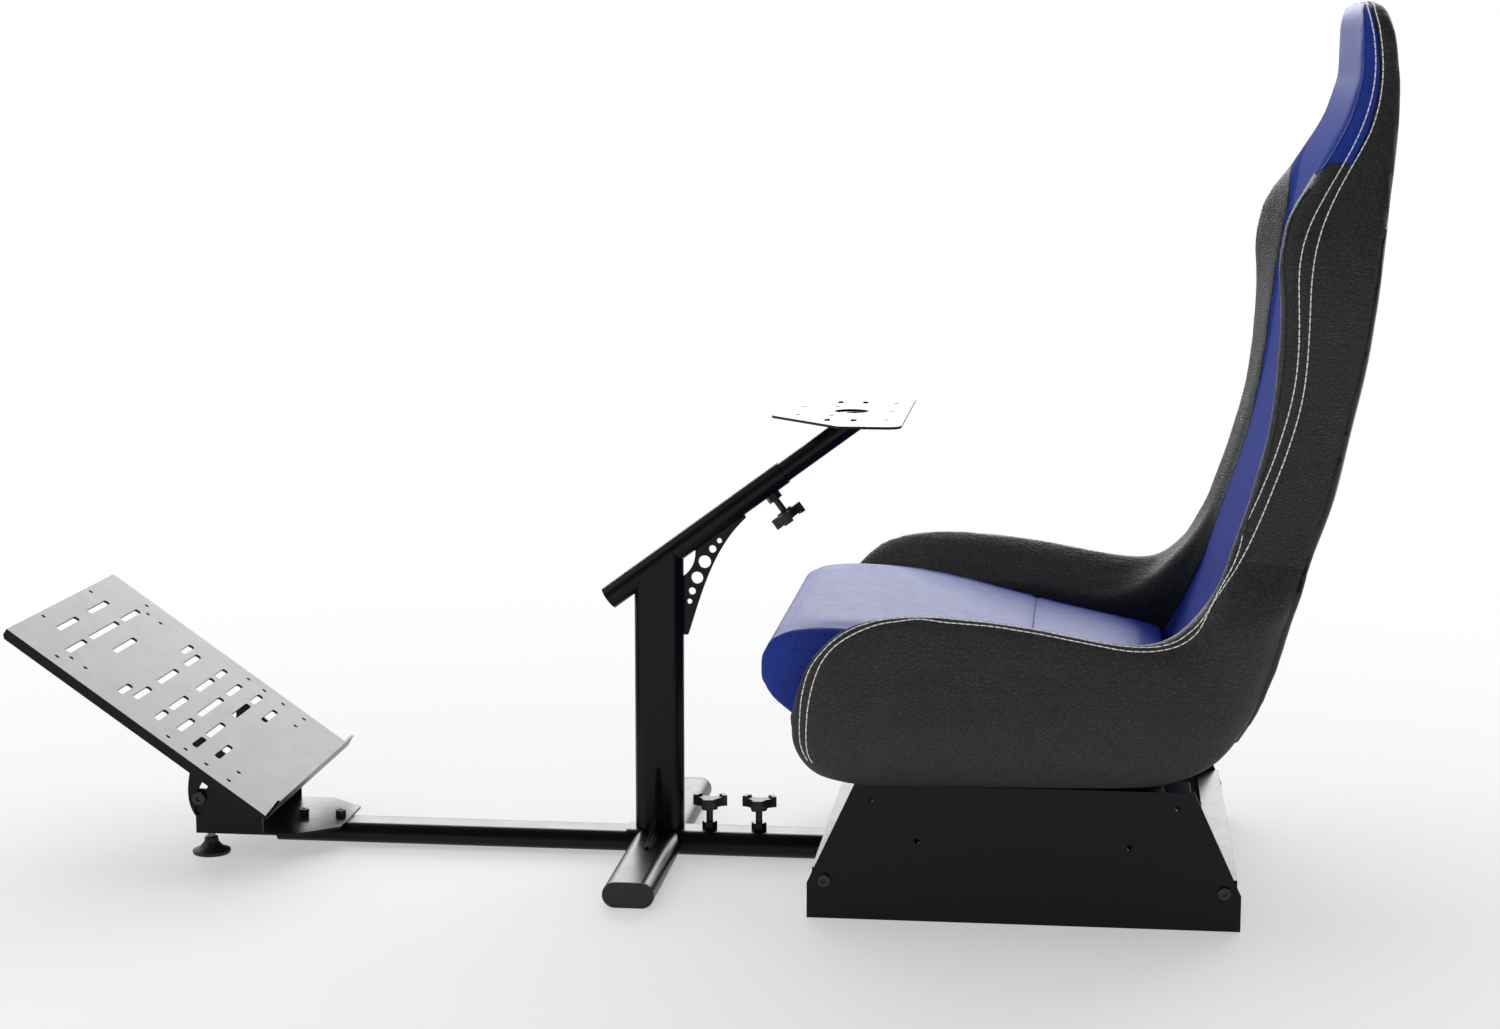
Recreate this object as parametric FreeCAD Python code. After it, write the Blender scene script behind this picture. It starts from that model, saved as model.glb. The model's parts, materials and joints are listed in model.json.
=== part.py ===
import FreeCAD, Part
import math
import os

os.makedirs("parts", exist_ok=True)
V = FreeCAD.Vector

# Frame: millimetres, +Z up, floor at z 0, post centre at x 0, seat towards +X, symmetric about y 0.

# Oval frame tube
TUBE_W = 60.0
TUBE_H = 30.0
TUBE_WALL = 2.0
SLIDE_GAP = 0.5
BEAM_FRONT = -39.0
BEAM_REAR = 684.0
CAP_T = 3.0
PLUG_L = 8.0
FOOT_END = 247.0

# Front beam that telescopes in the rear beam
INNER_W = TUBE_W - 2 * TUBE_WALL - 2 * SLIDE_GAP
INNER_H = TUBE_H - 2 * TUBE_WALL - 2 * SLIDE_GAP
INNER_Z0 = TUBE_WALL + SLIDE_GAP
INNER_TOP = INNER_Z0 + INNER_H
FRONT_END = -475.0
FRONT_TAIL = 205.0

# Steering column
COL_FOOT = V(-61.6, 0, 312.5)
COL_DEG = 36.5
COL_OD = 28.4
COL_WALL = 1.4
COL_LEN = 264.0
COL_GAP = 0.3
STEM_OD = COL_OD - 2 * COL_WALL - 2 * COL_GAP
STEM_WALL = 2.0
STEM_START = 92.0
COL_KNOB_BACK = 27.0

# Wheel plate, x measured from where the column axis meets its underside
WHEEL_T = 3.0
WHEEL_TOP = 544.2
WHEEL_FRONT = -104.5
WHEEL_REAR = 52.5
WHEEL_NOSE = 55.0
WHEEL_HALF = 151.0
WHEEL_SHOULDER = -18.5
WHEEL_CORNER = 14.0
CABLE_HOLE_X = -15.5
CABLE_HOLE_R = 20.0
WHEEL_BOLT_R = 3.0
WHEEL_SLOT_R = 3.25
WHEEL_SLOT_L = 20.0
WHEEL_BOLTS = ((-75.8, 41.0), (-35.7, 45.5), (31.8, 83.0), (31.8, 0.0))
WHEEL_SLOTS = ((-36.3, 90.5), (-5.9, 90.5))

# Hand knobs and their weld nuts
SCREW_R = 4.0
BORE_R = 4.2
NUT_AF = 16.0
NUT_H = 9.0
KNOB_R = 21.5
KNOB_H = 13.0
KNOB_DISH_R = 16.0
KNOB_DISH = 2.5
KNOB_HUB_R = 10.0
KNOB_HUB = 2.5
KNOB_SIDE_R = 20.0
KNOB_WAIST = 9.5
KNOB_STEM = 18.0
BEAM_KNOB_X = (61.0, 121.5)

# Pedal plate, laid flat with its heel edge at the origin, then tilted
PEDAL_HEEL = V(-440.4, 0, 78.2)
PEDAL_DEG = 35.2
PEDAL_LEN = 375.7
PEDAL_HALF = 187.5
SHEET = 3.0
PEDAL_FLANGE = 12.0
PEDAL_LIP = 19.0
SLOT_R = 4.0
HOLE_R = 3.0

# Pedal base, tilt pivot and lock bolt
BASE_HALF = 88.0
BASE_Z0 = INNER_TOP
BASE_FRONT = -557.0
BASE_BACK = -474.0
TAIL_WIDE = -432.0
TAIL_END = -388.0
TAIL_HALF = 50.0
PIVOT = V(-493.0, 0, 58.0)
PIVOT_R = 6.0
LOCK = V(-550.5, 0, 72.3)
LOCK_R = 4.0
LOCK_SWEEP = 16.5
EAR_GAP = 0.6
BASE_SCREW_X = (-447.0, -400.0)
LEVEL_X = BASE_FRONT + 15.0
LEVEL_Y = 76.0
LEVEL_STEM_R = 4.85
LEVEL_BORE_R = 5.2
LEVEL_FOOT_R = 23.0

# Seat base
SIDE_Y = 261.0
SIDE_T = 3.0
SIDE_FRONT = 205.6
SIDE_REAR = 688.5
SIDE_KNEE = 40.5
SIDE_TOP = 156.5
TOP_FRONT = 259.0
TOP_REAR = 635.0
FLANGE_W = 50.0
SIDE_HOLE_IN = (18.0, 70.0)
SIDE_HOLE_DOWN = (17.7, 64.2)
BAR = 28.0
BAR_WALL = 2.0
BAR_PLUG = 22.0
BAR_X = (225.3, 670.0)
BAR_Z0 = TUBE_H
BOLT_HEAD_R = 7.0
BOLT_HEAD_H = 4.4
SIDE_BOLT_L = 20.0

# Seat
SOFT_GAP = 0.6
PANEL_GAP = 1.2
SHELL_GAP = 0.3
BOLSTER_IN = 225.0
PAN_T = 12.0
PAN_FRONT = TOP_FRONT + 7.0
PAN_REAR = TOP_REAR - 35.0
SHELL_T = 4.5
SHELL_THIN = 2.0
SHELL_TIP = 1.2
SHELL_IN = 4.0


def vec(x, z, y=0.0):
    return V(x, y, z)


def box(x0, x1, y0, y1, z0, z1):
    return Part.makeBox(x1 - x0, y1 - y0, z1 - z0, V(x0, y0, z0))


def rod(start, along, radius, length):
    return Part.makeCylinder(radius, length, start, along)


def prism(points, along):
    wire = Part.makePolygon(list(points) + [points[0]])
    return Part.Face(wire).extrude(along)


def curve(points):
    spline = Part.BSplineCurve()
    spline.interpolate(points)
    return spline.toShape()


def oval_bar(start, along, side, width, height, length):
    up = along.cross(side)
    s = side * ((width - height) / 2.0)
    h = up * (height / 2.0)
    e = side * (width / 2.0)
    edges = [
        Part.makeLine(start - s + h, start + s + h),
        Part.Arc(start + s + h, start + e, start + s - h).toShape(),
        Part.makeLine(start + s - h, start - s - h),
        Part.Arc(start - s - h, start - e, start - s + h).toShape(),
    ]
    return Part.Face(Part.Wire(edges)).extrude(along * length)


def oval_tube(start, along, side, width, height, wall, length):
    outer = oval_bar(start, along, side, width, height, length)
    inner = oval_bar(start, along, side, width - 2 * wall, height - 2 * wall, length)
    return outer.cut(inner)


def hexagon(centre, along, side, flats, height, bore):
    other = along.cross(side)
    r = flats / math.sqrt(3.0)
    turns = [math.radians(60 * k) for k in range(6)]
    points = [centre + side * (r * math.cos(t)) + other * (r * math.sin(t)) for t in turns]
    body = prism(points, along * height)
    if bore:
        body = body.cut(rod(centre, along, bore, height))
    return body


def sides(value):
    return (0.0,) if value == 0 else (-value, value)


def mirror_y(shape):
    return shape.mirror(V(0, 0, 0), V(0, 1, 0))


PARTS = {}


def both_sides(name, left_shape):
    PARTS["left_" + name] = left_shape
    PARTS["right_" + name] = mirror_y(left_shape)


X = V(1, 0, 0)
Y = V(0, 1, 0)
Z = V(0, 0, 1)
COL_RAD = math.radians(COL_DEG)
COL_AXIS = V(math.cos(COL_RAD), 0, math.sin(COL_RAD))
COL_DOWN = V(math.sin(COL_RAD), 0, -math.cos(COL_RAD))


# Frame: beams, cross feet and post

def rear_beam():
    mid = V(BEAM_FRONT, 0, TUBE_H / 2)
    beam = oval_tube(mid, X, Y, TUBE_W, TUBE_H, TUBE_WALL, BEAM_REAR - BEAM_FRONT)
    for x in BEAM_KNOB_X:
        beam = beam.cut(rod(V(x, 0, TUBE_H - 3), Z, BORE_R, 4))
    return beam


def front_beam():
    mid = V(FRONT_END, 0, INNER_Z0 + INNER_H / 2)
    beam = oval_tube(mid, X, Y, INNER_W, INNER_H, TUBE_WALL, FRONT_TAIL - FRONT_END)
    for x in BASE_SCREW_X:
        beam = beam.cut(rod(V(x, 0, INNER_TOP - 3), Z, BORE_R, 4))
    return beam


def end_cap(start, along, side):
    plate = oval_bar(start, along, side, TUBE_W, TUBE_H, CAP_T)
    w = TUBE_W - 2 * TUBE_WALL
    h = TUBE_H - 2 * TUBE_WALL
    plug = oval_bar(start - along * PLUG_L, along, side, w, h, PLUG_L)
    return plate.fuse(plug).removeSplitter()


def beam_solid():
    mid = V(BEAM_FRONT, 0, TUBE_H / 2)
    return oval_bar(mid, X, Y, TUBE_W, TUBE_H, BEAM_REAR - BEAM_FRONT)


def left_foot():
    start = V(0, -TUBE_H / 2, TUBE_H / 2)
    tube = oval_tube(start, -Y, X, TUBE_W, TUBE_H, TUBE_WALL, FOOT_END - TUBE_H / 2)
    return tube.cut(beam_solid())


def foot_gusset():
    half = TUBE_H / 2
    base = TUBE_H
    edges = [
        Part.makeLine(V(-2, -half, base), V(-2, -half, base + 76)),
        Part.makeLine(V(-2, -half, base + 76), V(-2, -half - 4, base + 76)),
        Part.Arc(V(-2, -half - 4, base + 76), V(-2, -50, base + 28), V(-2, -110, base + 4)).toShape(),
        Part.makeLine(V(-2, -110, base + 4), V(-2, -110, base)),
        Part.makeLine(V(-2, -110, base), V(-2, -half, base)),
    ]
    plate = Part.Face(Part.Wire(edges)).extrude(V(4, 0, 0))
    for y, z, r in ((-24.0, 76.0, 3.5), (-33.0, 51.0, 8.0), (-62.0, 40.0, 4.0)):
        plate = plate.cut(rod(V(-3, y, z), X, r, 6))
    return plate


def column_solid():
    return rod(COL_FOOT, COL_AXIS, COL_OD / 2, COL_LEN)


def post_solid():
    return oval_bar(V(0, 0, TUBE_H), Z, X, TUBE_W, TUBE_H, 360)


def above_column():
    low = COL_FOOT - COL_AXIS * 60
    reach = COL_AXIS * (COL_LEN + 120)
    lift = V(0, 0, 300)
    corner = low - Y * 40
    return prism([corner, corner + reach, corner + reach + lift, corner + lift], Y * 80)


def post():
    tube = oval_tube(V(0, 0, TUBE_H), Z, X, TUBE_W, TUBE_H, TUBE_WALL, 360)
    return tube.cut(column_solid()).cut(above_column())


# Steering column and wheel plate

def outer_column_tube():
    tube = column_solid().cut(rod(COL_FOOT + COL_AXIS * 3, COL_AXIS, COL_OD / 2 - COL_WALL, COL_LEN))
    hole = rod(COL_FOOT + COL_AXIS * (COL_LEN - COL_KNOB_BACK), COL_DOWN, BORE_R, COL_OD)
    return tube.cut(hole)


def column_gusset():
    lower = [vec(35.6, 269.8, -2), vec(52.6, 323.1, -2), vec(75.0, 374.1, -2), vec(105.5, 413.7, -2)]
    inner = [vec(44.3, 374.0, -2), vec(41.5, 356.0, -2), vec(29.0, 341.0, -2)]
    edges = [
        Part.makeLine(vec(29.0, 269.8, -2), lower[0]),
        curve(lower),
        Part.makeLine(lower[-1], vec(103.0, 422.0, -2)),
        Part.makeLine(vec(103.0, 422.0, -2), vec(44.3, 379.0, -2)),
        Part.makeLine(vec(44.3, 379.0, -2), inner[0]),
        curve(inner),
        Part.makeLine(inner[-1], vec(29.0, 269.8, -2)),
    ]
    plate = Part.Face(Part.Wire(edges)).extrude(V(0, 4, 0))
    holes = ((73.6, 385.6, 3.1), (65.4, 375.3, 4.5), (55.8, 359.6, 7.6), (46.6, 340.0, 7.2),
             (40.6, 323.5, 4.3), (37.4, 310.9, 3.1))
    for x, z, r in holes:
        plate = plate.cut(rod(vec(x, z, -3), Y, r, 6))
    return plate.cut(post_solid()).cut(column_solid())


def stem_tube():
    start = COL_FOOT + COL_AXIS * STEM_START
    under = WHEEL_TOP - WHEEL_T
    length = (under - start.z + STEM_OD) / COL_AXIS.z
    tube = rod(start, COL_AXIS, STEM_OD / 2, length)
    tube = tube.cut(rod(start, COL_AXIS, STEM_OD / 2 - STEM_WALL, length))
    reach = start.x + length
    return tube.cut(box(start.x, reach, -STEM_OD, STEM_OD, under, under + 2 * STEM_OD))


def wheel_plate():
    corner = WHEEL_CORNER
    outline = [(WHEEL_FRONT, -WHEEL_NOSE), (WHEEL_SHOULDER, -WHEEL_HALF), (WHEEL_REAR - corner, -WHEEL_HALF)]
    outline += [(WHEEL_REAR - corner * 0.3, -WHEEL_HALF + corner * 0.3), (WHEEL_REAR, -WHEEL_HALF + corner)]
    outline += [(x, -y) for x, y in reversed(outline)]
    plate = prism([V(x, y, 0) for x, y in outline], V(0, 0, WHEEL_T))
    plate = plate.cut(rod(V(CABLE_HOLE_X, 0, -1), Z, CABLE_HOLE_R, WHEEL_T + 2))
    for x, y in WHEEL_BOLTS:
        for side in sides(y):
            plate = plate.cut(rod(V(x, side, -1), Z, WHEEL_BOLT_R, WHEEL_T + 2))
    for x, y in WHEEL_SLOTS:
        for side in sides(y):
            slot = oval_bar(V(x, side, -1), Z, Y, WHEEL_SLOT_L, 2 * WHEEL_SLOT_R, WHEEL_T + 2)
            plate = plate.cut(slot)
    under = WHEEL_TOP - WHEEL_T
    plate.translate(V(COL_FOOT.x + (under - COL_FOOT.z) / math.tan(COL_RAD), 0, under))
    return plate


# Hand knobs: a three-lobed head on a screw, one lobe towards the driver's left

def knob(tip, along, screw):
    body = rod(tip, along, SCREW_R, screw)
    base = tip + along * screw
    hub = rod(base - along * KNOB_HUB, along, KNOB_HUB_R, KNOB_HUB)
    head = rod(base, along, KNOB_R, KNOB_H)
    head = head.cut(rod(base + along * (KNOB_H - KNOB_DISH), along, KNOB_DISH_R, KNOB_DISH))
    side = along.cross(Y)
    for k in range(3):
        t = math.radians(120 * k)
        out = Y * math.cos(t) + side * math.sin(t)
        head = head.cut(rod(base + out * (KNOB_WAIST + KNOB_SIDE_R), along, KNOB_SIDE_R, KNOB_H))
    return body.fuse([hub, head]).removeSplitter()


# Pedal plate, bent from one sheet

# rows as distance from the heel or from the top edge, offset to each side, slot length
HEEL_SLOTS = (
    (231.0, 119.6, 42.0), (214.4, 97.0, 58.0), (214.4, 0.0, 73.0), (177.4, 53.0, 66.0),
    (177.4, 119.6, 42.0), (149.3, 0.0, 96.0), (149.3, 98.7, 58.0), (121.5, 53.4, 66.0),
    (121.5, 119.6, 42.0), (93.3, 97.7, 58.0),
)
TOP_SLOTS = ((31.7, 55.0, 70.0), (63.7, 98.8, 64.0), (63.7, 0.0, 100.0), (95.4, 0.0, 80.0))
HEEL_HOLES = ((150.0, 164.0), (124.7, 164.0), (94.6, 164.0), (61.6, 164.0), (61.6, 124.3))
TOP_HOLES = ((7.7, 83.3), (63.1, 164.0), (74.2, 140.6), (94.5, 140.6))


def tilt(shape):
    turned = shape.copy()
    turned.rotate(V(0, 0, 0), Y, PEDAL_DEG)
    turned.translate(PEDAL_HEEL)
    return turned


def pedal_sheet():
    sheet = box(-PEDAL_LEN, 0, -PEDAL_HALF, PEDAL_HALF, -SHEET, 0)
    inner = PEDAL_HALF - SHEET
    skirt = [V(-PEDAL_LEN, inner, 0), V(-3, inner, 0), V(-12, inner, -PEDAL_FLANGE)]
    skirt += [V(-PEDAL_LEN + 4, inner, -PEDAL_FLANGE), V(-PEDAL_LEN, inner, -PEDAL_FLANGE + 4)]
    right = prism(skirt, V(0, SHEET, 0))
    lip_top = PEDAL_HALF - 16
    lip = [V(0, -PEDAL_HALF, -SHEET), V(0, PEDAL_HALF, -SHEET), V(0, PEDAL_HALF, 0)]
    lip += [V(0, lip_top, PEDAL_LIP), V(0, -lip_top, PEDAL_LIP), V(0, -PEDAL_HALF, 0)]
    sheet = sheet.fuse([right, mirror_y(right), prism(lip, V(SHEET, 0, 0))])
    slots = list(HEEL_SLOTS) + [(PEDAL_LEN - d, v, length) for d, v, length in TOP_SLOTS]
    holes = list(HEEL_HOLES) + [(PEDAL_LEN - d, v) for d, v in TOP_HOLES]
    cuts = []
    for u, v, length in slots:
        for y in sides(v):
            cuts.append(oval_bar(V(-u, y, -SHEET - 1), Z, Y, length, 2 * SLOT_R, SHEET + 2))
    for u, v in holes:
        for y in sides(v):
            cuts.append(rod(V(-u, y, -SHEET - 1), Z, HOLE_R, SHEET + 2))
    return sheet.cut(cuts).removeSplitter()


def around(centre, radius, degrees, y):
    t = math.radians(degrees)
    return V(centre.x + radius * math.cos(t), y, centre.z + radius * math.sin(t))


def lock_angle():
    return math.degrees(math.atan2(LOCK.z - PIVOT.z, LOCK.x - PIVOT.x))


def lock_slot(y, depth):
    r = (LOCK - PIVOT).Length
    w = LOCK_R + 0.4
    a0 = lock_angle() - LOCK_SWEEP
    a1 = lock_angle() + LOCK_SWEEP
    mid = lock_angle()
    outer = [around(PIVOT, r + w, a, y) for a in (a0, mid, a1)]
    inner = [around(PIVOT, r - w, a, y) for a in (a0, mid, a1)]
    low_end = around(around(PIVOT, r, a1, y), w, a1 + 90, y)
    high_end = around(around(PIVOT, r, a0, y), w, a0 - 90, y)
    edges = [
        Part.Arc(*outer).toShape(),
        Part.Arc(outer[2], low_end, inner[2]).toShape(),
        Part.Arc(inner[2], inner[1], inner[0]).toShape(),
        Part.Arc(inner[0], high_end, outer[0]).toShape(),
    ]
    return Part.Face(Part.Wire(edges)).extrude(V(0, depth, 0))


def plate_under(x):
    rad = math.radians(PEDAL_DEG)
    return PEDAL_HEEL.z + (PEDAL_HEEL.x - x) * math.tan(rad) - SHEET / math.cos(rad)


def left_ear():
    y = -BASE_HALF - EAR_GAP
    front = [vec(-560.0, plate_under(-560.0) - 2, y), vec(-560.5, 112.0, y), vec(-564.5, 74.0, y),
             vec(-556.5, 50.0, y)]
    heel = PIVOT.x + 18
    edges = [
        curve(front),
        Part.Arc(front[-1], vec(-528.0, 39.0, y), vec(PIVOT.x - 2, 38.5, y)).toShape(),
        Part.Arc(vec(PIVOT.x - 2, 38.5, y), vec(heel - 4, 45.0, y), vec(heel, PIVOT.z, y)).toShape(),
        Part.makeLine(vec(heel, PIVOT.z, y), vec(heel, plate_under(heel), y)),
        Part.makeLine(vec(heel, plate_under(heel), y), vec(-560.0, plate_under(-560.0), y)),
        Part.makeLine(vec(-560.0, plate_under(-560.0), y), front[0]),
    ]
    ear = Part.Face(Part.Wire(edges)).extrude(V(0, -SHEET, 0))
    ear = ear.cut(lock_slot(y + 1, -SHEET - 2))
    return ear.cut(rod(V(PIVOT.x, y + 1, PIVOT.z), -Y, PIVOT_R + 0.2, SHEET + 2))


def pedal_base():
    z0 = BASE_Z0
    z1 = BASE_Z0 + SHEET
    outline = [V(BASE_FRONT, -BASE_HALF, z0), V(TAIL_WIDE, -BASE_HALF, z0), V(TAIL_END, -TAIL_HALF, z0)]
    outline += [V(p.x, -p.y, z0) for p in reversed(outline)]
    floor = prism(outline, V(0, 0, SHEET))
    y = -BASE_HALF
    wall = [(BASE_FRONT, z0), (BASE_BACK, z0), (BASE_BACK, 60.0), (-482.0, 72.0), (-538.0, 83.0)]
    wall += [(-556.0, 83.0), (-560.0, 76.0), (-560.0, 62.0), (BASE_FRONT, 50.0)]
    wall = prism([vec(x, z, y) for x, z in wall], V(0, SHEET, 0))
    wall = wall.cut(rod(vec(LOCK.x, LOCK.z, y - 1), Y, LOCK_R + 0.2, SHEET + 2))
    stud = rod(vec(PIVOT.x, PIVOT.z, y + SHEET), -Y, PIVOT_R, 2 * SHEET + EAR_GAP)
    flat = rod(vec(PIVOT.x, PIVOT.z, y - SHEET - 2 * EAR_GAP), -Y, PIVOT_R + 2.5, 1.6)
    stud = stud.fuse(rod(vec(PIVOT.x, PIVOT.z, y - SHEET), -Y, PIVOT_R, 2 * EAR_GAP)).fuse(flat)
    nut = hexagon(V(LEVEL_X, -LEVEL_Y, z1), Z, X, NUT_AF, NUT_H, 0)
    body = floor.fuse([wall, mirror_y(wall), stud, mirror_y(stud), nut, mirror_y(nut)])
    for side in (-1, 1):
        body = body.cut(rod(V(LEVEL_X, side * LEVEL_Y, z0 - 1), Z, LEVEL_BORE_R, 20))
    for x in BASE_SCREW_X:
        body = body.cut(rod(V(x, 0, z0 - 1), Z, BORE_R, SHEET + 2))
    return body.removeSplitter()


def socket_screw(seat, along, side, head_r, head_h, shank):
    head = rod(seat, along, head_r, head_h)
    key = hexagon(seat + along * (head_h * 0.45), along, side, head_r * 0.75, head_h, 0)
    return head.cut(key).fuse(rod(seat, along * -1, SCREW_R, shank)).removeSplitter()


def leveling_foot():
    at = V(LEVEL_X, -LEVEL_Y, 0)
    profile = [vec(0, 0), vec(LEVEL_FOOT_R - 1, 0), vec(LEVEL_FOOT_R, 2.0), vec(LEVEL_FOOT_R, 4.5),
               vec(14.0, 8.5), vec(9.0, 14.5), vec(8.0, 20.5), vec(LEVEL_STEM_R, 20.5),
               vec(LEVEL_STEM_R, 56.0), vec(0, 56.0)]
    wire = Part.makePolygon(profile + [profile[0]])
    shape = Part.Face(wire).revolve(V(0, 0, 0), Z, 360)
    shape.translate(at)
    return shape


# Seat base

def side_plate():
    y = -SIDE_Y
    plate = prism([vec(SIDE_FRONT, 0, y), vec(SIDE_REAR, 0, y), vec(SIDE_REAR, SIDE_KNEE, y),
                   vec(TOP_REAR, SIDE_TOP, y), vec(TOP_FRONT, SIDE_TOP, y), vec(SIDE_FRONT, SIDE_KNEE, y)],
                  V(0, SIDE_T, 0))
    flange = box(TOP_FRONT + 4, TOP_REAR - 4, y, y + FLANGE_W, SIDE_TOP - SIDE_T, SIDE_TOP)
    plate = plate.fuse(flange).removeSplitter()
    for reach, drop in zip(SIDE_HOLE_IN, SIDE_HOLE_DOWN):
        for x in (TOP_FRONT + reach, TOP_REAR - reach):
            plate = plate.cut(rod(vec(x, SIDE_TOP - drop, y - 1), Y, HOLE_R, SIDE_T + 2))
    for x in BAR_X:
        plate = plate.cut(rod(vec(x, BAR_Z0 + BAR / 2, y - 1), Y, BORE_R, SIDE_T + 2))
    return plate


def cross_bar(x):
    half = SIDE_Y - SIDE_T
    bar = box(x - BAR / 2, x + BAR / 2, -half, half, BAR_Z0, BAR_Z0 + BAR)
    inner = BAR / 2 - BAR_WALL
    mid = BAR_Z0 + BAR / 2
    bar = bar.cut(box(x - inner, x + inner, -half + BAR_PLUG, half - BAR_PLUG, mid - inner, mid + inner))
    for side in (-1, 1):
        bar = bar.cut(rod(vec(x, mid, side * half), Y * -side, BORE_R, BAR_PLUG + 1))
    return bar


# Seat shell and upholstery: stations of the back as front point, rear point and outer half width

SEAM_FRONT = (664.0, 411.0)
SEAM_REAR = (746.0, 414.0)
BACK = (
    ((SEAM_FRONT[0], SEAM_FRONT[1] + SOFT_GAP), (SEAM_REAR[0], SEAM_REAR[1] + SOFT_GAP), 277.0),
    ((688.0, 480.0), (771.0, 484.0), 270.0),
    ((707.0, 555.0), (788.0, 560.0), 264.0),
    ((715.0, 625.0), (803.0, 628.0), 261.0),
    ((717.0, 690.0), (813.0, 698.0), 257.0),
    ((713.0, 745.0), (820.0, 755.0), 248.0),
    ((723.0, 790.0), (827.0, 800.0), 231.0),
    ((757.0, 838.0), (834.0, 841.0), 199.0),
    ((787.0, 888.0), (839.0, 886.0), 172.0),
    ((802.0, 937.0), (840.0, 930.0), 158.0),
    ((802.0, 985.0), (835.0, 978.0), 151.0),
    ((801.0, 1000.0), (830.0, 998.0), 143.0),
    ((803.0, 1012.0), (825.0, 1012.0), 122.0),
    ((806.0, 1019.0), (818.0, 1019.0), 80.0),
)
PANEL_HALF = (220.0, 212.0, 196.0, 182.0, 170.0, 160.0, 150.0, 136.0)
PANEL_X = (682.0, 704.0, 723.0, 734.0, 740.0, 748.0, 754.0, 764.0)
SEAM_X = (790.0, 814.0, 821.0, 818.0, 815.0, 813.0, 812.0)
LOW_PANEL = (((603.0, 182.0), (648.0, 190.0)), ((627.0, 255.0), (683.0, 243.0)),
             ((657.0, 331.0), (718.0, 328.0)), ((674.0, 388.0), (738.0, 388.0)))
HEAD_START = 7
SHELL_LOW = (
    ((675.0, 214.0), 254.0, SHELL_T), ((700.0, 270.0), 266.0, SHELL_T), ((723.5, 334.0), 271.0, SHELL_T),
    ((741.0, 390.0), 272.0, SHELL_T),
)
SHELL_THIN_AT = 5
PANEL_SUNK = 6.0
EDGE_R = 14.0
REAR_R = 10.0

BOLSTER_EDGE = (
    (203, 171), (192, 222), (206, 290), (249, 338), (340, 354), (460, 343), (563, 326), (618, 344),
    SEAM_FRONT,
)
EDGE_CORE = (
    (290, 235), (290, 235), (290, 240), (300, 250), (345, 245), (460, 245), (560, 240), (600, 250),
    (655, 320),
)
BOLSTER_BACK = (
    SEAM_REAR, (724, 339), (680, 225), (642, 182), (575, 166), (450, 162), (321, 161), (228, 164),
    (203, 171),
)
BACK_CORE = (
    (690, 330), (660, 290), (630, 260), (605, 250), (565, 240), (450, 240), (321, 240), (280, 237),
    (290, 235),
)
CUSHION_TOP = (
    (166, 243), (154, 262), (152, 283), (158, 304), (174, 318), (200, 323), (235, 324), (315, 318),
    (371, 307), (431, 292), (492, 277), (560, 262), (609, 250),
)
CUSHION_CHIN = ((232, 190), (200, 216))
CUSHION_FLOOR_X = (262, 590)
CHIN_STEPS = 7
TOP_STEPS = 22
EDGE_STEPS = 18
BACK_STEPS = 13
# half width, insets of the top edge, nose, seam end and bottom, front of the seam end
LEVELS = (
    (BOLSTER_IN, 0.50, 0.05, 0.0, 0.0, 676.0), (262.0, 0.22, 0.0, 0.0, 0.0, 667.0),
    (277.0, 0.10, 0.0, 0.0, 0.01, SEAM_FRONT[0]), (290.0, 0.02, 0.0, 0.20, 0.04, SEAM_FRONT[0]),
    (300.0, 0.0, 0.05, 0.42, 0.18, SEAM_FRONT[0]), (306.0, 0.07, 0.15, 0.58, 0.38, SEAM_FRONT[0]),
    (309.0, 0.26, 0.35, 0.72, 0.65, SEAM_FRONT[0]),
)


def on_station(k, x):
    (fx, fz), (rx, rz), y_out = BACK[k]
    t = (x - rx) / (fx - rx)
    return (x, rz + t * (fz - rz))


def inset(points, core, shares, y):
    out = []
    for (px, pz), (cx, cz), k in zip(points, core, shares):
        out.append(V(px + k * (cx - px), -y, pz + k * (cz - pz)))
    return out


def bolster_wire(y, top, nose, seam, bottom, seam_x):
    n = len(BOLSTER_EDGE)
    edge_share = [bottom, nose] + [top] * (n - 4) + [(top + seam) / 2, seam]
    m = len(BOLSTER_BACK)
    back_share = [seam] * 2 + [(seam + bottom) / 2] + [bottom] * (m - 3)
    ends = BOLSTER_EDGE[:-1] + ((seam_x, SEAM_FRONT[1]),)
    edge = inset(ends, EDGE_CORE, edge_share, y)
    back = inset(BOLSTER_BACK, BACK_CORE, back_share, y)
    outline = curve(edge).discretize(EDGE_STEPS) + curve(back).discretize(BACK_STEPS)
    return Part.makePolygon(outline)


def seat_bolster():
    return Part.makeLoft([bolster_wire(*level) for level in LEVELS], True, True)


def rounded(corner, inward, sideways, radius):
    bite = radius * (1 - math.sqrt(0.5))
    return [corner + sideways * radius, corner + inward * bite + sideways * bite, corner + inward * radius]


def section(inner, front, rear, y_in, y_out, r_front, r_rear):
    f = vec(front[0], front[1])
    r = vec(rear[0], rear[1])
    back = (r - f).normalize()
    points = [vec(inner[0], inner[1], -y_in)] + rounded(f - Y * y_out, back, Y, r_front)
    points += rounded(r - Y * y_out, -back, Y, r_rear)[::-1] + [r - Y * y_in]
    return Part.makePolygon(points + [points[0]])


def head_seam(k, gap):
    return on_station(k, SEAM_X[k - HEAD_START] + gap)


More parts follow.
